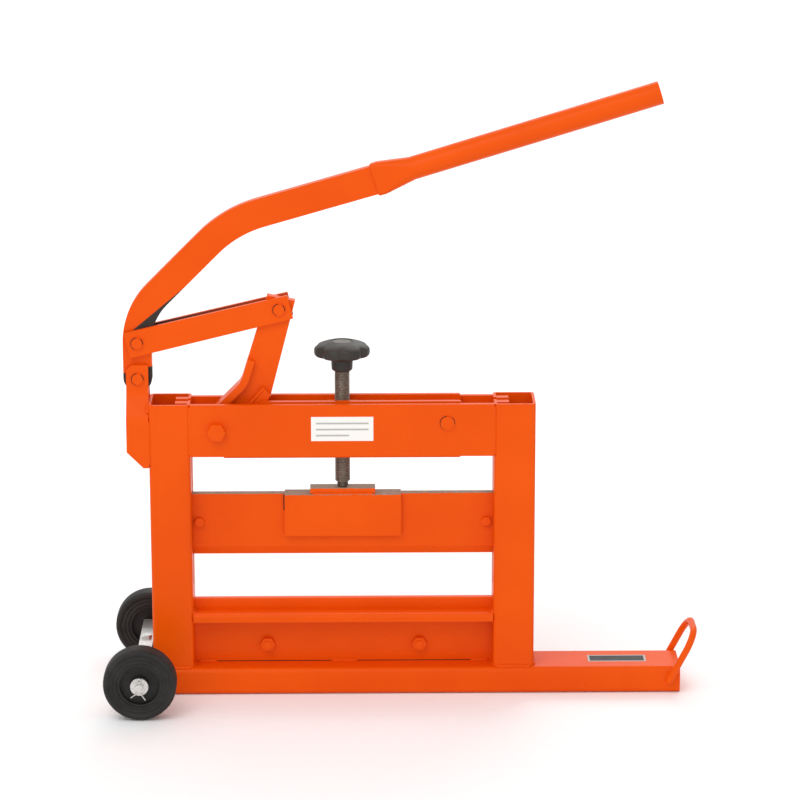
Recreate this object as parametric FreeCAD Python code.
"""Hand-lever block splitter: a welded frame, a two-stage lever press and a height-set blade.

Frame of reference, millimetres: X runs along the base rail with X = 0 on the spindle axis midway
between the columns, Y = 0 is the plane of both blades, Z = 0 is the sole of the base rail.
-Y is the front. The tow wheels are at the -X end and the tow handle at the +X end.
"""
import FreeCAD
import Part
import math
import os

V = FreeCAD.Vector

# ---------------------------------------------------------------- driving dimensions
# clearances
RUN_FIT = 0.05              # radial gap of a pin in its moving bore
SIDE_GAP = 0.5              # gap beside a moving plate
PIVOT_PLAY = 1.7            # radial gap at the pivot where the linkage loop is left open
TRUNNION_PLAY = 0.3         # radial gap where a pin also shifts a little in its hole
THREAD_GAP = 0.1            # radial gap between the spindle and its nut
GROUND_GAP = 0.3            # the wheels hang this far over the floor

# base rail
RAIL_HEIGHT = 40.0
RAIL_WALL = 4.0
RAIL_LEDGE = 5.0            # rail stands this far out past the column faces, front and rear
RAIL_CORNER = 7.0
RAIL_TAIL = 21.0            # from the left column to the left end
RAIL_TOE = 213.0            # from the right column to the right end
CAP_THICKNESS = 3.0

# columns and their guide bars
THROAT_WIDTH = 440.0        # clear width between the columns
COLUMN_WIDTH = 60.0
COLUMN_HEIGHT = 400.0
COLUMN_WALL = 4.0
COLUMN_CORNER = 6.0
GUIDE_WIDTH = 18.0
GUIDE_THICKNESS = 12.0
GUIDE_SINK = 1.0            # top of the guide bars below the top of the column
SLOT_CLEARANCE = 0.5        # each side of the blade bar in its slot
SLOT_SILL = 20.0            # foot of the slot above the lower blade

# head plates across the top
HEAD_HEIGHT = 77.5
HEAD_PLATE = 8.0
HEAD_REAR_STEP = 3.0        # the rear plate is set this much lower
HEAD_SIDE_GAP = 2.5         # between the head plates and the pressure beam

# lever tower on the left column
CHEEK_WIDTH = 32.0
CHEEK_PLATE = 8.0
CHEEK_RISE = 55.0           # top of the cheeks above the column
CHEEK_DROP = 94.0           # foot of the cheeks below the top of the column
CHEEK_NOSE = 8.0            # 45 degree cut at the outer top corner
CHEEK_FOOT_CUT = 24.0       # 45 degree cut at the foot
JOGGLE_TOP = 14.0           # the bend starts this far above the column
JOGGLE_DROP = 37.0          # and ends this much lower
JOGGLE_RADIUS = 26.0        # inside radius of the bends

# pivots
PIN_DIA = 16.0
PIN_PROUD = 1.5             # a pin end stands this far out of its retaining ring
RING_RIM = 2.2              # retaining ring around a pin
RING_THICKNESS = 1.2
WASHER_RIM = 4.0            # washer ring around a pin
WASHER_THICKNESS = 2.0
BEAM_PIN_DIA = 20.0
BEAM_PIN_PROUD = 2.5
LEVER_PIN_RISE = 34.5       # lever pivot above the columns
LEVER_PIN_OUT = 15.5        # and outward from the left column
LINK_PIN_RISE = 52.5        # link pivot on the lever above the lever pivot
CRANK_BOLT_IN = 38.5        # crank pivot inward from the left column
CRANK_BOLT_DROP = 39.5      # and below the top of the columns
CRANK_REACH_X = 91.0        # top pivot of the crank from its lower pivot, along X
CRANK_REACH_Z = 175.5       # and along Z
BEAM_PIN_IN = 68.0          # pressure beam pivot inward from the right column
BEAM_PIN_DROP = 28.0        # and below the top of the columns

# hand lever
LEVER_THICKNESS = 15.0
LEVER_WIDTH = 41.5
LEVER_BEND_1 = 93.0         # first corner of its centre line above the lever pivot
LEVER_RUN_2 = 193.0         # from the first corner to the second
LEVER_RUN_3 = 225.5         # from the second corner to the end of the bar
LEVER_ANGLE_2 = 45.0
LEVER_ANGLE_3 = 16.0
LEVER_RADIUS_1 = 100.0
LEVER_RADIUS_2 = 175.0
PIPE_DIA = 33.7
PIPE_WALL = 3.2
PIPE_ANGLE = 17.0
PIPE_LENGTH = 424.0
SOCKET_LENGTH = 55.0        # flared stretch that grips the bar
SOCKET_FLAT = 0.18          # share of it that is flat-sided
SOCKET_CORNER = 0.6         # corner radius as a share of half its depth
SOCKET_WALL = 3.0
SOCKET_OVERLAP = 9.0        # bar inside the flared stretch
SOCKET_FIT = 0.2

# links
LINK_PLATE = 6.0
LINK_WIDTH_LEFT = 38.0
LINK_WIDTH_RIGHT = 35.0
LINK_END_LEFT = 15.0        # bar past each pin centre
LINK_END_RIGHT = 17.0
LINK_CORNER = 1.5

# crank
CRANK_TOP_LEFT = (-16.5, 20.0)      # corners from the crank's top pivot, X and Z
CRANK_TOP_RIGHT = (23.5, 11.5)
CRANK_ELBOW = (35.0, 68.0)          # from the crank's lower pivot
CRANK_SHOULDER = (78.3, 48.3)
CRANK_WAIST = (66.5, 32.5)
CRANK_ELBOW_RADIUS = 35.0
CRANK_BOSS_RADIUS = 23.5
CRANK_RIB = 10.5
CRANK_RIB_PLATE = 8.0
CRANK_RIB_RISE = 34.0       # top of the rib above the elbow
HEEL_OUT = 56.5             # centre of the heel slot from the lower pivot, X
HEEL_UP = 10.0              # and Z
HEEL_RADIUS = 17.5
HEEL_PLAY = 3.0             # half the extra length of the slot
HEEL_TOP_OUT = 68.5         # upper corner of the heel plates, from the lower pivot
HEEL_TOP_UP = 60.0
HEEL_SLOPE = 50.0           # slope of their inner edge
CRANK_BOLT_DIA = 16.0
SPACER_RIM = 5.0

# pressure beam
PRESS_PLATE = 8.0
PRESS_HEIGHT = 84.0
PRESS_RISE = 2.0            # top edge above the columns
PRESS_LEFT = 9.5            # left end inward from the crank bolt
PRESS_RIGHT = 21.0          # right end outward from the beam pivot
PRESS_SLOPE = 56.0          # the sloping left end starts this far inward along the top
PRESS_FOOT = 22.0           # and ends this far above the lower edge
PRESS_PIN_DIA = 20.0
PRESS_SPACER = (30.0, 24.0)
PRESS_SPACER_SINK = 22.0    # spacer centre above the lower edge

# spindle, nut and knob
SPINDLE_DIA = 22.0
NECK_DIA = 12.4
SHOULDER_DIA = 15.6
SHOULDER_LENGTH = 7.5
NUT_WIDTH = 44.0
NUT_HEIGHT = 44.0
NUT_UP = 24.0               # top of the nut above its trunnions
TRUNNION_DIA = 20.0
KNOB_RISE = 89.5            # top of the knob above the columns
KNOB_RADIUS = 41.3
KNOB_HEIGHT = 46.5
KNOB_HUB_RADIUS = 16.0
KNOB_RIM_LOW = 22.0         # underside of the lobes above the foot of the hub
KNOB_RIM_HIGH = 38.0
KNOB_CAP_RADIUS = 15.0
KNOB_LOBES = 7
KNOB_SCALLOP = 9.0
COLLAR_DIA = 18.0
COLLAR_HEIGHT = 12.0
COLLAR_ROOM = 1.5
COLLAR_PIN_DIA = 4.0

# blade carriage
BLADE_THICKNESS = 12.0
BLADE_HEIGHT = 93.0
BLADE_DROP = 141.0          # top of the blade bar below the top of the columns
BLADE_BEVEL = 12.0
BLADE_EDGE = 3.0            # width of the working edge
BLADE_ENGAGE = 18.0         # bar inside each column
SADDLE_WIDTH = 170.0
SADDLE_HEIGHT = 63.0
SADDLE_PLATE = 8.0
CAP_WIDTH = 95.0
CAP_DEPTH = 22.0
CAP_HEIGHT = 9.0
STOP_BOLT_DIA = 8.0
STOP_BOLT_IN = 10.0         # bolt centre inward from the column
STOP_BOLT_DROP = 43.0       # below the top of the blade bar

# lower blade and its stand
WEB_THICKNESS = 8.0
WEB_HEIGHT = 70.0
FLANGE_THICKNESS = 12.0
FLANGE_ROUND = 5.0
LOWER_BLADE_HEIGHT = 16.0
LOWER_BLADE_CHAMFER = 1.5
WEB_BOLT_DIA = 12.0
WEB_BOLT_SPREAD = 112.0
WEB_BOLT_RISE = 28.0
BRACKET_LEG = 45.0
BRACKET_FOOT = 26.0
BRACKET_PLATE = 6.0
BRACKET_WIDTH = 50.0

# tow handle
HANDLE_ROD = 10.0
HANDLE_FOOT_IN = 14.5       # foot inward from the end of the rail
HANDLE_FOOT_UP = 18.0
HANDLE_LENGTH = 82.5
HANDLE_LEAN = 62.5          # degrees from the floor
HANDLE_BEND = 30.0

# wheels and axle
AXLE_BAR_WIDTH = 20.0
AXLE_BAR_HEIGHT = 27.0
AXLE_BAR_OUT = 12.9         # centre of the bar outward from the left column
AXLE_BOLT_SPREAD = 26.0
AXLE_BOLT_DIA = 8.0
SPIGOT_DIA = 12.0
WHEEL_TRACK = 268.0
HUB_INNER = 21.5            # hub length inboard of the tyre's middle
HUB_OUTER = 18.5            # and outboard
HUB_BOSS_RADIUS = 13.0
TYRE_WIDTH = 34.0
TYRE_INNER = 33.0
TYRE_ROUND = 7.0
HUB_WEB = 12.0
SPIGOT_WASHER_DIA = 26.0
SPLIT_PIN_DIA = 3.2
SPLIT_PIN_REACH = 15.0
SPIGOT_TAIL = 9.0

# fasteners: across flats, head height and nut height for each thread size
HEX = {8.0: (13.0, 5.3, 6.5), 12.0: (19.0, 7.5, 10.0), 16.0: (24.0, 10.0, 13.0)}
BOLT_TAIL = 4.0             # bolt past its nut
HEX_CROWN = 0.48            # radius of the flat end of a head, as a share of its flats
HEX_SLOPE = 2.0             # the chamfer widens this much for each millimetre of height

# ---------------------------------------------------------------- derived layout
web_half = LEVER_THICKNESS / 2
link_inner = web_half + SIDE_GAP
link_outer = link_inner + LINK_PLATE
cheek_inner = web_half + SIDE_GAP
crank_half = web_half + CRANK_RIB_PLATE
press_inner = crank_half + 2 * SIDE_GAP
press_outer = press_inner + PRESS_PLATE
head_inner = press_outer + HEAD_SIDE_GAP
half_depth = head_inner + HEAD_PLATE
rail_half = half_depth + RAIL_LEDGE

inner_x = THROAT_WIDTH / 2
outer_x = inner_x + COLUMN_WIDTH
rail_left = -outer_x - RAIL_TAIL
rail_right = outer_x + RAIL_TOE
top_z = RAIL_HEIGHT + COLUMN_HEIGHT
head_z = top_z - HEAD_HEIGHT

lever_pin = (-outer_x - LEVER_PIN_OUT, top_z + LEVER_PIN_RISE)
link_pin = (lever_pin[0], lever_pin[1] + LINK_PIN_RISE)
crank_bolt = (-inner_x + CRANK_BOLT_IN, top_z - CRANK_BOLT_DROP)
crank_pin = (crank_bolt[0] + CRANK_REACH_X, crank_bolt[1] + CRANK_REACH_Z)
beam_pin = (inner_x - BEAM_PIN_IN, top_z - BEAM_PIN_DROP)
heel = (crank_bolt[0] + HEEL_OUT, crank_bolt[1] + HEEL_UP)
pin_radius = PIN_DIA / 2

web_top = RAIL_HEIGHT + WEB_HEIGHT
flange_top = web_top + FLANGE_THICKNESS
lower_edge = flange_top + LOWER_BLADE_HEIGHT
blade_top = top_z - BLADE_DROP
blade_low = blade_top - BLADE_HEIGHT
cap_top = blade_top + CAP_HEIGHT
slot_half = BLADE_THICKNESS / 2 + SLOT_CLEARANCE
saddle_outer = BLADE_THICKNESS / 2 + SADDLE_PLATE
knob_top = top_z + KNOB_RISE
knob_low = knob_top - KNOB_HEIGHT
axle_x = -outer_x - AXLE_BAR_OUT
axle_z = RAIL_HEIGHT + AXLE_BAR_HEIGHT / 2
wheel_radius = axle_z - GROUND_GAP
track_half = WHEEL_TRACK / 2


# ---------------------------------------------------------------- helpers
def box(x0, x1, y0, y1, z0, z1):
    """A block from its low to its high corner."""
    return Part.makeBox(x1 - x0, y1 - y0, z1 - z0, V(x0, y0, z0))


def rod_y(point, radius, y0, y1):
    """A cylinder along Y through the point (x, z)."""
    return Part.makeCylinder(radius, y1 - y0, V(point[0], y0, point[1]), V(0, 1, 0))


def rod_z(x, y, radius, z0, z1):
    """A cylinder along Z."""
    return Part.makeCylinder(radius, z1 - z0, V(x, y, z0), V(0, 0, 1))


def corner_cut(before, corner, after, radius):
    """Where a rounded corner starts, its middle and its end, in the plane of the outline."""
    back = V(before[0] - corner[0], before[1] - corner[1], 0).normalize()
    ahead = V(after[0] - corner[0], after[1] - corner[1], 0).normalize()
    half = back.getAngle(ahead) / 2
    reach = radius / math.tan(half)
    middle = (back + ahead).normalize() * (radius / math.sin(half) - radius)
    here = V(corner[0], corner[1], 0)
    return here + back * reach, here + middle, here + ahead * reach


def outline(points):
    """A closed wire in the XY plane; a point (x, y, r) is a corner rounded with radius r."""
    ends = []
    edges = []
    count = len(points)
    for i, point in enumerate(points):
        if len(point) == 3:
            first, middle, last = corner_cut(points[i - 1], point, points[(i + 1) % count], point[2])
            edges.append(Part.Arc(first, middle, last).toShape())
            ends.append((first, last))
        else:
            here = V(point[0], point[1], 0)
            ends.append((here, here))
    for i in range(count):
        start = ends[i][1]
        stop = ends[(i + 1) % count][0]
        if (stop - start).Length > 1e-6:
            edges.append(Part.makeLine(start, stop))
    return Part.Wire(Part.__sortEdges__(edges))


def plate_y(points, y0, y1):
    """A plate whose outline (x, z) lies across Y, from y0 to y1."""
    solid = Part.Face(outline(points)).extrude(V(0, 0, y0 - y1))
    solid.rotate(V(0, 0, 0), V(1, 0, 0), 90)
    solid.translate(V(0, y0, 0))
    return solid


def bar_x(points, x0, x1):
    """A bar along X whose section is an outline (y, z)."""
    solid = Part.Face(outline(points)).extrude(V(0, 0, x1 - x0))
    solid.rotate(V(0, 0, 0), V(1, 1, 1), 120)
    solid.translate(V(x0, 0, 0))
    return solid


def rectangle(x0, x1, y0, y1, radius=0.0):
    """The outline points of a rectangle, with rounded corners where a radius is given."""
    corners = [(x0, y0), (x1, y0), (x1, y1), (x0, y1)]
    if radius:
        return [(x, y, radius) for x, y in corners]
    return corners


def ring_y(point, inner, outer, y0, y1):
    """A washer or spacer around a pin along Y."""
    return rod_y(point, outer, y0, y1).cut(rod_y(point, inner, y0, y1))


def both_sides(shape):
    """A front piece and its mirror image at the rear."""
    return [shape, shape.mirror(V(0, 0, 0), V(0, 1, 0))]


def hexagon(point, flats, y0, y1):
    """A hexagonal head or nut along Y, with the corners of its outer end (y0) chamfered."""
    radius = flats / math.sqrt(3)
    corners = []
    for i in range(6):
        angle = math.radians(60 * i)
        corners.append((point[0] + radius * math.cos(angle), point[1] + radius * math.sin(angle)))
    body = plate_y(corners, min(y0, y1), max(y0, y1))
    length = abs(y1 - y0)
    way = 1 if y1 > y0 else -1
    crown = flats * HEX_CROWN
    foot = V(point[0], y0, point[1])
    cone = Part.makeCone(crown, crown + HEX_SLOPE * length, length, foot, V(0, way, 0))
    return body.common(cone)


def bolt_y(point, size, head_y, tip_y):
    """A hexagon bolt along Y: the head stands on head_y, away from the tip."""
    flats, head, _ = HEX[size]
    way = 1 if tip_y > head_y else -1
    shank = rod_y(point, size / 2, min(head_y, tip_y), max(head_y, tip_y))
    return hexagon(point, flats, head_y - way * head, head_y).fuse(shank).removeSplitter()


def nut_y(point, size, seat_y, way):
    """A hexagon nut that stands on seat_y and reaches outward along way."""
    flats, _, height = HEX[size]
    blank = hexagon(point, flats, seat_y + way * height, seat_y)
    ends = sorted((seat_y, seat_y + way * height))
    return blank.cut(rod_y(point, size / 2, ends[0], ends[1]))


def offset_line(points, distance):
    """A polyline moved sideways, to its left for a positive distance, with mitred corners."""
    moved = []
    for i, point in enumerate(points):
        sides = []
        if i > 0:
            sides.append(V(point[0] - points[i - 1][0], point[1] - points[i - 1][1], 0).normalize())
        if i < len(points) - 1:
            sides.append(V(points[i + 1][0] - point[0], points[i + 1][1] - point[1], 0).normalize())
        normals = [V(-side.y, side.x, 0) for side in sides]
        middle = sum(normals[1:], normals[0]).normalize()
        reach = distance / middle.dot(normals[0])
        moved.append((point[0] + middle.x * reach, point[1] + middle.y * reach))
    return moved


def save(name, shapes):
    """Write one node: a single solid, or a group of separate solids."""
    shape = shapes if isinstance(shapes, Part.Shape) else Part.makeCompound(shapes)
    shape.exportStep("parts/%s.step" % name)


# ---------------------------------------------------------------- frame
def base_rail():
    """Box section lying on the floor, with its sole at Z = 0."""
    outer = bar_x(rectangle(-rail_half, rail_half, 0, RAIL_HEIGHT, RAIL_CORNER), rail_left, rail_right)
    inside = rectangle(-rail_half + RAIL_WALL, rail_half - RAIL_WALL,
                       RAIL_WALL, RAIL_HEIGHT - RAIL_WALL, RAIL_CORNER - RAIL_WALL + 0.5)
    rail = outer.cut(bar_x(inside, rail_left, rail_right))
    for y in (-AXLE_BOLT_SPREAD, AXLE_BOLT_SPREAD):
        rail = rail.cut(rod_z(axle_x, y, AXLE_BOLT_DIA / 2, RAIL_HEIGHT - RAIL_WALL, RAIL_HEIGHT))
    return rail


def rail_end_caps():
    """Plates welded over the open ends, as large as the section."""
    section = rectangle(-rail_half, rail_half, 0, RAIL_HEIGHT, RAIL_CORNER)
    return [bar_x(section, rail_left - CAP_THICKNESS, rail_left),
            bar_x(section, rail_right, rail_right + CAP_THICKNESS)]


def column(side):
    """Open-topped box column; its inner wall is slotted for the blade bar."""
    x0, x1 = sorted((side * inner_x, side * outer_x))
    outer = Part.Face(outline(rectangle(x0, x1, -half_depth, half_depth, COLUMN_CORNER)))
    inner = Part.Face(outline(rectangle(x0 + COLUMN_WALL, x1 - COLUMN_WALL, -half_depth + COLUMN_WALL,
                                        half_depth - COLUMN_WALL, COLUMN_CORNER - COLUMN_WALL)))
    tube = outer.cut(inner).extrude(V(0, 0, COLUMN_HEIGHT))
    tube.translate(V(0, 0, RAIL_HEIGHT))
    s0, s1 = sorted((side * inner_x, side * (inner_x + COLUMN_WALL)))
    return tube.cut(box(s0, s1, -slot_half, slot_half, lower_edge + SLOT_SILL, top_z))


def guide_bars(side):
    """Two flat bars inside a column that guide the end of the blade bar between them."""
    x0, x1 = sorted((side * (inner_x + COLUMN_WALL), side * (inner_x + COLUMN_WALL + GUIDE_WIDTH)))
    bar = box(x0, x1, -slot_half - GUIDE_THICKNESS, -slot_half, RAIL_HEIGHT, top_z - GUIDE_SINK)
    return both_sides(bar)


def head_plate(way, step):
    """One of the two plates between the columns, flush with their faces."""
    y0, y1 = sorted((way * head_inner, way * half_depth))
    plate = box(-inner_x, inner_x, y0, y1, head_z - step, top_z - step)
    plate = plate.cut(rod_y(crank_bolt, CRANK_BOLT_DIA / 2, y0, y1))
    return plate.cut(rod_y(beam_pin, BEAM_PIN_DIA / 2, y0, y1))


def tower_cheeks():
    """Joggled flat bars welded to the left column; close together at the lever pivot."""
    foot = top_z - CHEEK_DROP
    bend_high = top_z + JOGGLE_TOP
    bend_low = bend_high - JOGGLE_DROP
    crest = top_z + CHEEK_RISE
    near = -cheek_inner
    far = -half_depth + CHEEK_PLATE
    tight = JOGGLE_RADIUS
    wide = JOGGLE_RADIUS + CHEEK_PLATE
    section = [(near, crest), (near, bend_high, wide), (far, bend_low, tight), (far, foot),
               (far - CHEEK_PLATE, foot), (far - CHEEK_PLATE, bend_low, wide),
               (near - CHEEK_PLATE, bend_high, tight), (near - CHEEK_PLATE, crest)]
    left = -outer_x - CHEEK_WIDTH
    strip = bar_x(section, left, -outer_x)
    shape = [(left, foot + CHEEK_FOOT_CUT), (left, crest - CHEEK_NOSE), (left + CHEEK_NOSE, crest),
             (-outer_x, crest, 2.0), (-outer_x, foot), (left + CHEEK_FOOT_CUT, foot)]
    cheek = strip.common(plate_y(shape, -half_depth, 0))
    cheek = cheek.cut(rod_y(lever_pin, pin_radius, -half_depth, 0))
    return both_sides(cheek)


def lower_blade():
    """Square bar under the work, with broken top edges."""
    half = BLADE_THICKNESS / 2
    cut = LOWER_BLADE_CHAMFER
    section = [(-half, flange_top), (half, flange_top), (half, lower_edge - cut), (half - cut, lower_edge),
               (-half + cut, lower_edge), (-half, lower_edge - cut)]
    return bar_x(section, -inner_x, inner_x)


def lower_flange():
    """Flat bar between the columns that carries the lower blade."""
    section = [(-half_depth, web_top), (half_depth, web_top), (half_depth, flange_top, FLANGE_ROUND),
               (-half_depth, flange_top, FLANGE_ROUND)]
    return bar_x(section, -inner_x, inner_x)


def web_bolt_places():
    """The two bolts through the web, as (x, z)."""
    return [(x, RAIL_HEIGHT + WEB_BOLT_RISE) for x in (-WEB_BOLT_SPREAD, WEB_BOLT_SPREAD)]


def lower_web():
    """Upright plate between the rail and the flange."""
    half = WEB_THICKNESS / 2
    web = box(-inner_x, inner_x, -half, half, RAIL_HEIGHT, web_top)
    for place in web_bolt_places():
        web = web.cut(rod_y(place, WEB_BOLT_DIA / 2, -half, half))
    return web


def web_brackets():
    """Angles behind the web, welded to the rail and bolted to the web."""
    near = WEB_THICKNESS / 2
    solids = []
    for x, z in web_bolt_places():
        section = [(near, RAIL_HEIGHT), (near + BRACKET_FOOT, RAIL_HEIGHT),
                   (near + BRACKET_FOOT, RAIL_HEIGHT + BRACKET_PLATE),
                   (near + BRACKET_PLATE, RAIL_HEIGHT + BRACKET_PLATE),
                   (near + BRACKET_PLATE, RAIL_HEIGHT + BRACKET_LEG), (near, RAIL_HEIGHT + BRACKET_LEG)]
        angle = bar_x(section, x - BRACKET_WIDTH / 2, x + BRACKET_WIDTH / 2)
        solids.append(angle.cut(rod_y((x, z), WEB_BOLT_DIA / 2, near, near + BRACKET_PLATE)))
    return solids


def web_bolts():
    """Bolts put in from the rear, so that their ends show in front."""
    nut_front = -WEB_THICKNESS / 2 - HEX[WEB_BOLT_DIA][2]
    back = WEB_THICKNESS / 2 + BRACKET_PLATE
    return [bolt_y(place, WEB_BOLT_DIA, back, nut_front - BOLT_TAIL / 2) for place in web_bolt_places()]


def tow_handle():
    """Bent rod welded to the front and rear of the rail, leaning outward."""
    lean = math.radians(HANDLE_LEAN)
    side = rail_half + HANDLE_ROD / 2
    along = V(math.cos(lean), 0, math.sin(lean))
    foot = V(rail_right - HANDLE_FOOT_IN, 0, HANDLE_FOOT_UP)
    edges = []
    corners = [foot + V(0, -side, 0), foot + along * HANDLE_LENGTH + V(0, -side, 0),
               foot + along * HANDLE_LENGTH + V(0, side, 0), foot + V(0, side, 0)]
    start = corners[0]
    for before, corner, after in zip(corners, corners[1:], corners[2:]):
        back = (before - corner).normalize()
        ahead = (after - corner).normalize()
        first = corner + back * HANDLE_BEND
        last = corner + ahead * HANDLE_BEND
        middle = corner + (back + ahead) * (HANDLE_BEND * (1 - math.sqrt(0.5)))
        edges.append(Part.makeLine(start, first))
        edges.append(Part.Arc(first, middle, last).toShape())
        start = last
    edges.append(Part.makeLine(start, corners[-1]))
    section = Part.Wire(Part.makeCircle(HANDLE_ROD / 2, corners[0], along))
    return Part.Wire(edges).makePipeShell([section], True, False)


# ---------------------------------------------------------------- axle and wheels
def axle():
    """Bar across the tail of the rail, with its ends turned down to carry the wheels."""
    half = AXLE_BAR_WIDTH / 2
    end = track_half - HUB_INNER
    bar = box(axle_x - half, axle_x + half, -end, end, RAIL_HEIGHT, RAIL_HEIGHT + AXLE_BAR_HEIGHT)
    tip = track_half + HUB_OUTER + WASHER_THICKNESS + SPIGOT_TAIL
    bar = bar.fuse(rod_y((axle_x, axle_z), SPIGOT_DIA / 2, -tip, tip)).removeSplitter()
    for y in (-AXLE_BOLT_SPREAD, AXLE_BOLT_SPREAD):
        bar = bar.cut(rod_z(axle_x, y, AXLE_BOLT_DIA / 2, RAIL_HEIGHT, RAIL_HEIGHT + AXLE_BAR_HEIGHT))
    for y in (-split_pin_y(), split_pin_y()):
        bar = bar.cut(rod_z(axle_x, y, SPLIT_PIN_DIA / 2, axle_z - SPIGOT_DIA, axle_z + SPIGOT_DIA))
    return bar


def split_pin_y():
    """Distance of each split pin from the middle of the axle."""
    return track_half + HUB_OUTER + WASHER_THICKNESS + SPLIT_PIN_DIA / 2 + SIDE_GAP


def axle_bolts():
    """Hexagon bolts that hold the axle bar down on the rail."""
    seat = RAIL_HEIGHT + AXLE_BAR_HEIGHT
    solids = []
    for y in (-AXLE_BOLT_SPREAD, AXLE_BOLT_SPREAD):
        bolt = bolt_y((0, 0), AXLE_BOLT_DIA, 0, AXLE_BAR_HEIGHT + RAIL_WALL)
        bolt.rotate(V(0, 0, 0), V(1, 0, 0), -90)
        bolt.translate(V(axle_x, y, seat))
        solids.append(bolt)
    return solids


def axle_washers():
    """Washers outside the hubs."""
    y0 = -track_half - HUB_OUTER - WASHER_THICKNESS
    washer = ring_y((axle_x, axle_z), SPIGOT_DIA / 2, SPIGOT_WASHER_DIA / 2, y0, y0 + WASHER_THICKNESS)
    return both_sides(washer)


def split_pins():
    """Split pins down through the spigots, with an eye above and two spread legs below."""
    y = -split_pin_y()
    radius = SPLIT_PIN_DIA / 2
    body = rod_z(axle_x, y, radius, axle_z - SPIGOT_DIA / 2 - radius, axle_z + SPIGOT_DIA / 2 + radius)
    crown = V(axle_x, y, axle_z + SPIGOT_DIA / 2 + radius * 2.4)
    eye = Part.makeTorus(radius * 1.6, radius * 0.7, crown, V(0, 1, 0))
    pin = body.fuse(eye)
    low = V(axle_x, y, axle_z - SPIGOT_DIA / 2 - radius / 2)
    for lean in (-55, 35):
        way = V(math.sin(math.radians(lean)), 0, -math.cos(math.radians(lean)))
        pin = pin.fuse(Part.makeCylinder(radius * 0.6, SPLIT_PIN_REACH, low, way))
    return both_sides(pin.removeSplitter())


def wheel_hub(side):
    """Moulded centre: a rim ring, a thin disc and a long boss bored for the spigot."""
    radius = TYRE_INNER
    half = TYRE_WIDTH / 2
    bore = SPIGOT_DIA / 2 + RUN_FIT
    boss = HUB_BOSS_RADIUS
    rim = radius - 4.0
    profile = [(bore, -HUB_INNER), (boss, -HUB_INNER), (boss, -HUB_WEB / 2), (rim, -HUB_WEB / 2),
               (rim, -half + 3), (radius, -half + 3), (radius, half - 3), (rim, half - 3),
               (rim, HUB_WEB / 2), (boss, HUB_WEB / 2), (boss, HUB_OUTER), (bore, HUB_OUTER)]
    return turned(profile, side)


def tyre(side):
    """Solid rubber ring with rounded shoulders."""
    half = TYRE_WIDTH / 2
    profile = [(TYRE_INNER, -half + 2), (TYRE_INNER + 3, -half), (wheel_radius, -half, TYRE_ROUND),
               (wheel_radius, half, TYRE_ROUND), (TYRE_INNER + 3, half), (TYRE_INNER, half - 2)]
    return turned(profile, side)


def turned(profile, side):
    """A profile (radius, distance outboard) turned about the axle on the given side."""
    face = Part.Face(outline(profile))
    solid = face.revolve(V(0, 0, 0), V(0, 1, 0), 360)
    if side < 0:
        solid = solid.mirror(V(0, 0, 0), V(0, 1, 0))
    solid.translate(V(axle_x, side * track_half, axle_z))
    return solid


# ---------------------------------------------------------------- pins of the linkage
def pin_y(point, radius, face):
    """A plain pin along Y that stands proud of the washers on both faces."""
    reach = face + RING_THICKNESS + PIN_PROUD
    return rod_y(point, radius, -reach, reach)


def ring_pair(point, face):
    """A retaining ring on each outer face, around a pin."""
    ring = ring_y(point, pin_radius, pin_radius + RING_RIM, -face - RING_THICKNESS, -face)
    return both_sides(ring)


def crank_spacers():
    """Tubes on the crank bolt between the crank and the head plates."""
    inner = CRANK_BOLT_DIA / 2
    near = -crank_half - SIDE_GAP / 2
    return both_sides(ring_y(crank_bolt, inner, inner + SPACER_RIM, -head_inner, near))


def beam_pin_washers():
    """Thin washers between the pressure beam and the head plates."""
    inner = BEAM_PIN_DIA / 2
    near = -press_outer - SIDE_GAP / 2
    return both_sides(ring_y(beam_pin, inner, inner + WASHER_RIM, -head_inner, near))


# ---------------------------------------------------------------- hand lever
def lever_line():
    """Centre line of the bar as (x, z): up from the pivot, over at 45 degrees, then nearly level."""
    first = (lever_pin[0], lever_pin[1] + LEVER_BEND_1)
    slope = math.radians(LEVER_ANGLE_2)
    second = (first[0] + LEVER_RUN_2 * math.cos(slope), first[1] + LEVER_RUN_2 * math.sin(slope))
    slope = math.radians(LEVER_ANGLE_3)
    end = (second[0] + LEVER_RUN_3 * math.cos(slope), second[1] + LEVER_RUN_3 * math.sin(slope))
    return [lever_pin, first, second, end]


def lever_bar():
    """Flat bar cut to a cranked shape, round at the pivot end."""
    half = LEVER_WIDTH / 2
    line = lever_line()
    left = offset_line(line, half)
    right = offset_line(line, -half)
    points = [left[0], left[1] + (LEVER_RADIUS_1 + half,), left[2] + (LEVER_RADIUS_2 + half,), left[3],
              right[3], right[2] + (LEVER_RADIUS_2 - half,), right[1] + (LEVER_RADIUS_1 - half,), right[0]]
    bar = plate_y(points, -web_half, web_half)
    bar = bar.fuse(rod_y(lever_pin, half, -web_half, web_half)).removeSplitter()
    for place in (lever_pin, link_pin):
        bar = bar.cut(rod_y(place, pin_radius + RUN_FIT, -web_half, web_half))
    return bar


def socket_section(depth, width, along):
    """Rounded rectangle across the pipe, as deep as wide, and round, where the pipe is."""
    y = depth / 2
    z = width / 2
    r = min(y, z) * 0.999 if abs(y - z) < 0.01 else min(y, z) * SOCKET_CORNER
    lines = []
    corners = [(y - r, z - r, 0), (-y + r, z - r, 90), (-y + r, -z + r, 180), (y - r, -z + r, 270)]
    for cy, cz, start in corners:
        points = []
        for turn in (0, 45, 90):
            angle = math.radians(start + turn)
            points.append(V(along, cy + r * math.cos(angle), cz + r * math.sin(angle)))
        lines.append(points)
    edges = []
    for i, points in enumerate(lines):
        edges.append(Part.Arc(*points).toShape())
        edges.append(Part.makeLine(points[2], lines[(i + 1) % 4][0]))
    return Part.Wire(edges)


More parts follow.
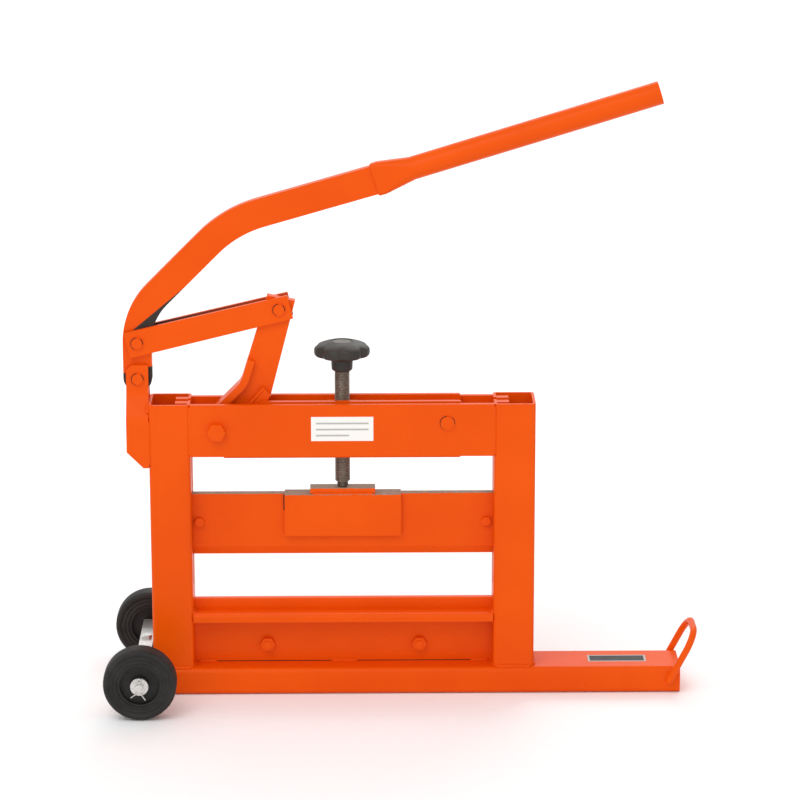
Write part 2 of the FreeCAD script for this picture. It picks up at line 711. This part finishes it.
def socket_and_tube(depth, width, radius):
    """The outside or the inside of the pipe, along X: a flat mouth, a flare and a round tube."""
    flat = SOCKET_LENGTH * SOCKET_FLAT
    sections = [socket_section(depth, width, 0), socket_section(depth, width, flat),
                socket_section(2 * radius, 2 * radius, SOCKET_LENGTH),
                socket_section(2 * radius, 2 * radius, PIPE_LENGTH)]
    pieces = [Part.makeLoft(sections[i:i + 2], True, True) for i in range(3)]
    return pieces[0].fuse(pieces[1:]).removeSplitter()


def lever_pipe():
    """Round pipe whose end is flattened to a flared socket and welded over the end of the bar."""
    depth = LEVER_THICKNESS + 2 * SOCKET_FIT
    width = LEVER_WIDTH + 2 * SOCKET_FIT
    outside = socket_and_tube(depth + 2 * SOCKET_WALL, width + 2 * SOCKET_WALL, PIPE_DIA / 2)
    inside = socket_and_tube(depth, width, PIPE_DIA / 2 - PIPE_WALL)
    pipe = outside.cut(inside)
    pipe.rotate(V(0, 0, 0), V(0, 1, 0), -PIPE_ANGLE)
    end = lever_line()[-1]
    slope = math.radians(PIPE_ANGLE)
    mouth = V(end[0] - SOCKET_OVERLAP * math.cos(slope), 0, end[1] - SOCKET_OVERLAP * math.sin(slope))
    pipe.translate(mouth)
    return pipe.cut(lever_bar_blank())


def lever_bar_blank():
    """The end of the bar, grown by the socket's fit, which the socket is bored for."""
    line = lever_line()[2:]
    half = LEVER_WIDTH / 2 + SOCKET_FIT
    grown = offset_line(line, half) + offset_line(line, -half)[::-1]
    return plate_y(grown, -web_half - SOCKET_FIT, web_half + SOCKET_FIT)


# ---------------------------------------------------------------- links
def link_plate():
    """Tapered flat bar on the front of the lever and the crank; the rear one is its mirror image."""
    line_of_pins = V(crank_pin[0] - link_pin[0], crank_pin[1] - link_pin[1], 0)
    ahead = V(line_of_pins).normalize()
    up = V(-ahead.y, ahead.x, 0)
    left = V(link_pin[0], link_pin[1], 0) - ahead * LINK_END_LEFT
    right = V(crank_pin[0], crank_pin[1], 0) + ahead * LINK_END_RIGHT
    points = []
    for place, half, way in ((left, LINK_WIDTH_LEFT / 2, -1), (right, LINK_WIDTH_RIGHT / 2, -1),
                             (right, LINK_WIDTH_RIGHT / 2, 1), (left, LINK_WIDTH_LEFT / 2, 1)):
        corner = place + up * (half * way)
        points.append((corner.x, corner.y, LINK_CORNER))
    plate = plate_y(points, -link_outer, -link_inner)
    for place in (link_pin, crank_pin):
        plate = plate.cut(rod_y(place, pin_radius, -link_outer, -link_inner))
    return plate


# ---------------------------------------------------------------- crank
def from_point(origin, step):
    """The point a step (x, z) away from an origin."""
    return (origin[0] + step[0], origin[1] + step[1])


def heel_slot(y0, y1):
    """Long hole in the heel that takes the pressure pin."""
    radius = PRESS_PIN_DIA / 2 + TRUNNION_PLAY
    left = (heel[0] - HEEL_PLAY, heel[1])
    right = (heel[0] + HEEL_PLAY, heel[1])
    slot = box(left[0], right[0], y0, y1, heel[1] - radius, heel[1] + radius)
    return slot.fuse(rod_y(left, radius, y0, y1)).fuse(rod_y(right, radius, y0, y1))


def crank_edge():
    """The crank's left edge: top corner, elbow, and where it runs onto the boss."""
    step = CRANK_BOSS_RADIUS * math.sin(math.radians(45))
    onto_boss = from_point(crank_bolt, (-step, step))
    return from_point(crank_pin, CRANK_TOP_LEFT), from_point(crank_bolt, CRANK_ELBOW), onto_boss


def crank_web():
    """Thick plate from the lower pivot up to the links, with the heel at its lower right."""
    top_left, elbow, onto_boss = crank_edge()
    shoulder = from_point(crank_bolt, CRANK_SHOULDER)
    points = [top_left, elbow + (CRANK_ELBOW_RADIUS,), onto_boss,
              from_point(crank_bolt, (0, -CRANK_BOSS_RADIUS)), from_point(heel, (0, -HEEL_RADIUS)),
              from_point(heel, (HEEL_RADIUS, 0)), from_point(crank_bolt, CRANK_WAIST), shoulder,
              from_point(crank_pin, CRANK_TOP_RIGHT)]
    web = plate_y(points, -web_half, web_half)
    web = web.fuse(rod_y(crank_bolt, CRANK_BOSS_RADIUS, -web_half, web_half))
    web = web.fuse(rod_y(heel, HEEL_RADIUS, -web_half, web_half)).removeSplitter()
    web = web.cut(rod_y(crank_bolt, CRANK_BOLT_DIA / 2 + RUN_FIT, -web_half, web_half))
    web = web.cut(rod_y(crank_pin, pin_radius + PIVOT_PLAY, -web_half, web_half))
    return web.cut(heel_slot(-web_half, web_half))


def crank_rib():
    """Narrow rib on the front of the web, along its left edge from above the elbow to the boss."""
    top_left, elbow, onto_boss = crank_edge()
    share = CRANK_RIB_RISE / (top_left[1] - elbow[1])
    top = (elbow[0] + (top_left[0] - elbow[0]) * share, elbow[1] + CRANK_RIB_RISE)
    edge = [top, elbow, onto_boss]
    inside = offset_line(edge, CRANK_RIB)
    points = [edge[0], edge[1] + (CRANK_ELBOW_RADIUS,), edge[2],
              inside[2], inside[1] + (CRANK_ELBOW_RADIUS + CRANK_RIB,), inside[0]]
    rib = plate_y(points, -crank_half, -web_half)
    return rib.cut(rod_y(crank_bolt, CRANK_BOSS_RADIUS, -crank_half, -web_half))


def crank_boss():
    """Thick ring on the front of the web around the lower pivot."""
    return ring_y(crank_bolt, CRANK_BOLT_DIA / 2 + RUN_FIT, CRANK_BOSS_RADIUS, -crank_half, -web_half)


def crank_heel():
    """Plate on the front of the web that thickens the heel."""
    top = from_point(crank_bolt, (HEEL_TOP_OUT, HEEL_TOP_UP))
    drop = top[1] - heel[1]
    low = (top[0] - drop / math.tan(math.radians(HEEL_SLOPE)), heel[1])
    shoulder = from_point(crank_bolt, CRANK_SHOULDER)
    points = [top, low, from_point(heel, (0, -HEEL_RADIUS)), from_point(heel, (HEEL_RADIUS, 0)),
              from_point(crank_bolt, CRANK_WAIST), shoulder]
    plate = plate_y(points, -crank_half, -web_half)
    plate = plate.fuse(rod_y(heel, HEEL_RADIUS, -crank_half, -web_half)).removeSplitter()
    return plate.cut(heel_slot(-crank_half, -web_half))


# ---------------------------------------------------------------- pressure beam
def press_plate():
    """Deep plate in front of the crank and the nut; the rear one is its mirror image."""
    left = crank_bolt[0] + PRESS_LEFT
    right = beam_pin[0] + PRESS_RIGHT
    high = top_z + PRESS_RISE
    low = high - PRESS_HEIGHT
    points = [(left, low), (right, low, 4.0), (right, high, 4.0), (left + PRESS_SLOPE, high),
              (left, low + PRESS_FOOT)]
    plate = plate_y(points, -press_outer, -press_inner)
    plate = plate.cut(rod_y(beam_pin, BEAM_PIN_DIA / 2 + RUN_FIT, -press_outer, -press_inner))
    plate = plate.cut(rod_y((0, beam_pin[1]), TRUNNION_DIA / 2 + TRUNNION_PLAY, -press_outer, -press_inner))
    return plate.cut(rod_y(heel, PRESS_PIN_DIA / 2, -press_outer, -press_inner))


def press_spacers():
    """Blocks welded between the two plates, either side of the nut."""
    low = top_z + PRESS_RISE - PRESS_HEIGHT
    middle_left = (heel[0] + HEEL_RADIUS - NUT_WIDTH / 2) / 2
    middle_right = (beam_pin[0] + NUT_WIDTH / 2) / 2
    solids = []
    for x in (middle_left, middle_right):
        half = PRESS_SPACER[0] / 2
        z = low + PRESS_SPACER_SINK
        solids.append(box(x - half, x + half, -press_inner, press_inner,
                          z - PRESS_SPACER[1] / 2, z + PRESS_SPACER[1] / 2))
    return solids


# ---------------------------------------------------------------- nut, spindle and knob
def spindle_nut():
    """Block between the beam plates with a trunnion each side and the spindle thread through it."""
    half = NUT_WIDTH / 2
    depth = press_inner - SIDE_GAP / 2
    high = beam_pin[1] + NUT_UP
    block = box(-half, half, -depth, depth, high - NUT_HEIGHT, high)
    block = block.fuse(rod_y((0, beam_pin[1]), TRUNNION_DIA / 2, -press_outer, press_outer)).removeSplitter()
    return block.cut(rod_z(0, 0, SPINDLE_DIA / 2 + THREAD_GAP, high - NUT_HEIGHT, high))


def neck_low():
    """Foot of the spindle's neck, in the pocket under the cap."""
    return blade_top - COLLAR_ROOM / 2 - COLLAR_HEIGHT


def spindle():
    """Threaded rod with a shoulder that bears on the cap and a thin neck through it."""
    shoulder_low = cap_top + SIDE_GAP / 2
    shoulder_high = shoulder_low + SHOULDER_LENGTH
    top = knob_top - KNOB_CAP_RADIUS / 2
    points = [(0, neck_low()), (NECK_DIA / 2, neck_low()), (NECK_DIA / 2, shoulder_low),
              (NECK_DIA / 2 + 0.6, shoulder_low), (SHOULDER_DIA / 2, shoulder_low + 2),
              (SHOULDER_DIA / 2, shoulder_high), (SPINDLE_DIA / 2, shoulder_high + 2),
              (SPINDLE_DIA / 2, top), (0, top)]
    face = Part.Face(outline(points))
    rod = face.revolve(V(0, 0, 0), V(0, 1, 0), 360)
    rod.rotate(V(0, 0, 0), V(1, 0, 0), 90)
    return rod.cut(collar_pin())


def collar_pin():
    """Pin across the neck that holds the collar."""
    z = neck_low() + COLLAR_HEIGHT / 2
    return Part.makeCylinder(COLLAR_PIN_DIA / 2, COLLAR_DIA, V(-COLLAR_DIA / 2, 0, z), V(1, 0, 0))


def spindle_collar():
    """Ring pinned to the neck under the cap, so that the spindle also lifts the blade."""
    ring = rod_z(0, 0, COLLAR_DIA / 2, neck_low(), neck_low() + COLLAR_HEIGHT)
    ring = ring.cut(rod_z(0, 0, NECK_DIA / 2, neck_low(), neck_low() + COLLAR_HEIGHT))
    return ring.cut(collar_pin())


def knob():
    """Star grip: a scalloped disc with a raised centre, on a hub around the top of the spindle."""
    hub = KNOB_HUB_RADIUS
    points = [(0, 0), (hub - 3, 0), (hub, 3), (hub, KNOB_RIM_LOW - 4), (KNOB_RADIUS - 4, KNOB_RIM_LOW),
              (KNOB_RADIUS, KNOB_RIM_LOW + 4), (KNOB_RADIUS, KNOB_RIM_HIGH - 4),
              (KNOB_RADIUS - 4, KNOB_RIM_HIGH), (KNOB_CAP_RADIUS + 3, KNOB_HEIGHT - 1.5),
              (KNOB_CAP_RADIUS, KNOB_HEIGHT), (0, KNOB_HEIGHT)]
    body = Part.Face(outline(points)).revolve(V(0, 0, 0), V(0, 1, 0), 360)
    body.rotate(V(0, 0, 0), V(1, 0, 0), 90)
    body.translate(V(0, 0, knob_low))
    for i in range(KNOB_LOBES):
        angle = 2 * math.pi * (i + 0.5) / KNOB_LOBES
        reach = KNOB_RADIUS + KNOB_SCALLOP * 0.45
        x = reach * math.cos(angle)
        y = reach * math.sin(angle)
        body = body.cut(rod_z(x, y, KNOB_SCALLOP, knob_low, knob_top))
    top = knob_top - KNOB_CAP_RADIUS / 2
    return body.cut(rod_z(0, 0, SPINDLE_DIA / 2, knob_low, top))


# ---------------------------------------------------------------- blade carriage
def collar_pocket():
    """Round pocket under the cap in which the collar turns."""
    floor = neck_low() - COLLAR_ROOM
    return rod_z(0, 0, COLLAR_DIA / 2 + COLLAR_ROOM, floor, blade_top)


def stop_bolt_places():
    """The two bolts in the blade bar beside the columns, as (x, z)."""
    reach = inner_x - STOP_BOLT_IN
    return [(x, blade_top - STOP_BOLT_DROP) for x in (-reach, reach)]


def upper_blade():
    """Bar across the throat with both ends in the column slots and a bevelled working edge."""
    half = BLADE_THICKNESS / 2
    edge = BLADE_EDGE / 2
    section = [(-edge, blade_low), (edge, blade_low), (half, blade_low + BLADE_BEVEL), (half, blade_top),
               (-half, blade_top), (-half, blade_low + BLADE_BEVEL)]
    reach = inner_x + BLADE_ENGAGE
    bar = bar_x(section, -reach, reach)
    for place in stop_bolt_places():
        bar = bar.cut(rod_y(place, STOP_BOLT_DIA / 2, -half, half))
    return bar.cut(collar_pocket())


def saddle_plate():
    """Side plate on the front of the blade bar under the spindle; the rear one is its mirror image."""
    half = SADDLE_WIDTH / 2
    plate = box(-half, half, -saddle_outer, -BLADE_THICKNESS / 2, blade_top - SADDLE_HEIGHT, blade_top)
    return plate.cut(collar_pocket())


def saddle_cap():
    """Plate on top of the side plates, bored for the spindle's neck."""
    half = CAP_WIDTH / 2
    cap = box(-half, half, -CAP_DEPTH / 2, CAP_DEPTH / 2, blade_top, cap_top)
    return cap.cut(rod_z(0, 0, NECK_DIA / 2 + RUN_FIT, blade_top, cap_top))


def stop_bolts():
    """Bolts through the blade bar whose heads keep it central between the columns."""
    half = BLADE_THICKNESS / 2
    tip = half + HEX[STOP_BOLT_DIA][2] + BOLT_TAIL / 2
    return [bolt_y(place, STOP_BOLT_DIA, -half, tip) for place in stop_bolt_places()]


def main():
    """Write every node."""
    os.makedirs("parts", exist_ok=True)
    save("base_rail", base_rail())
    save("rail_end_caps", rail_end_caps())
    for name, side in (("left", -1), ("right", 1)):
        save("%s_column" % name, column(side))
        save("%s_guide_bars" % name, guide_bars(side))
    save("head_plate_front", head_plate(-1, 0.0))
    save("head_plate_rear", head_plate(1, HEAD_REAR_STEP))
    front, rear = tower_cheeks()
    save("tower_cheek_front", front)
    save("tower_cheek_rear", rear)
    save("lower_web", lower_web())
    save("lower_flange", lower_flange())
    save("lower_blade", lower_blade())
    save("web_brackets", web_brackets())
    save("web_bolts", web_bolts())
    save("web_nuts", [nut_y(p, WEB_BOLT_DIA, -WEB_THICKNESS / 2, -1) for p in web_bolt_places()])
    save("tow_handle", tow_handle())

    save("axle", axle())
    save("axle_bolts", axle_bolts())
    save("axle_washers", axle_washers())
    save("split_pins", split_pins())
    for name, side in (("near", -1), ("far", 1)):
        save("%s_wheel_hub" % name, wheel_hub(side))
        save("%s_tyre" % name, tyre(side))

    cheek_face = cheek_inner + CHEEK_PLATE
    save("lever_pin", pin_y(lever_pin, pin_radius, cheek_face))
    save("lever_pin_rings", ring_pair(lever_pin, cheek_face))
    nut_seat = half_depth
    tip = nut_seat + HEX[CRANK_BOLT_DIA][2] + BOLT_TAIL
    save("crank_bolt", bolt_y(crank_bolt, CRANK_BOLT_DIA, -half_depth, tip))
    save("crank_nut", nut_y(crank_bolt, CRANK_BOLT_DIA, nut_seat, 1))
    save("crank_spacers", crank_spacers())
    reach = half_depth + BEAM_PIN_PROUD
    save("beam_pin", rod_y(beam_pin, BEAM_PIN_DIA / 2, -reach, reach))
    save("beam_pin_washers", beam_pin_washers())

    save("lever_bar", lever_bar())
    save("lever_pipe", lever_pipe())

    front, rear = both_sides(link_plate())
    save("link_front", front)
    save("link_rear", rear)
    save("link_lower_pin", pin_y(link_pin, pin_radius, link_outer))
    save("link_upper_pin", pin_y(crank_pin, pin_radius, link_outer))
    save("link_pin_rings", ring_pair(link_pin, link_outer) + ring_pair(crank_pin, link_outer))

    save("crank_web", crank_web())
    save("crank_ribs", both_sides(crank_rib()))
    save("crank_bosses", both_sides(crank_boss()))
    save("crank_heels", both_sides(crank_heel()))

    front, rear = both_sides(press_plate())
    save("press_plate_front", front)
    save("press_plate_rear", rear)
    save("press_pin", rod_y(heel, PRESS_PIN_DIA / 2, -press_outer, press_outer))
    save("press_spacers", press_spacers())

    save("spindle_nut", spindle_nut())
    save("spindle", spindle())
    save("spindle_collar", spindle_collar())
    save("collar_pin", collar_pin())
    save("knob", knob())

    save("upper_blade", upper_blade())
    front, rear = both_sides(saddle_plate())
    save("saddle_plate_front", front)
    save("saddle_plate_rear", rear)
    save("saddle_cap", saddle_cap())
    save("blade_stop_bolts", stop_bolts())
    save("blade_stop_nuts", [nut_y(p, STOP_BOLT_DIA, BLADE_THICKNESS / 2, 1) for p in stop_bolt_places()])


main()
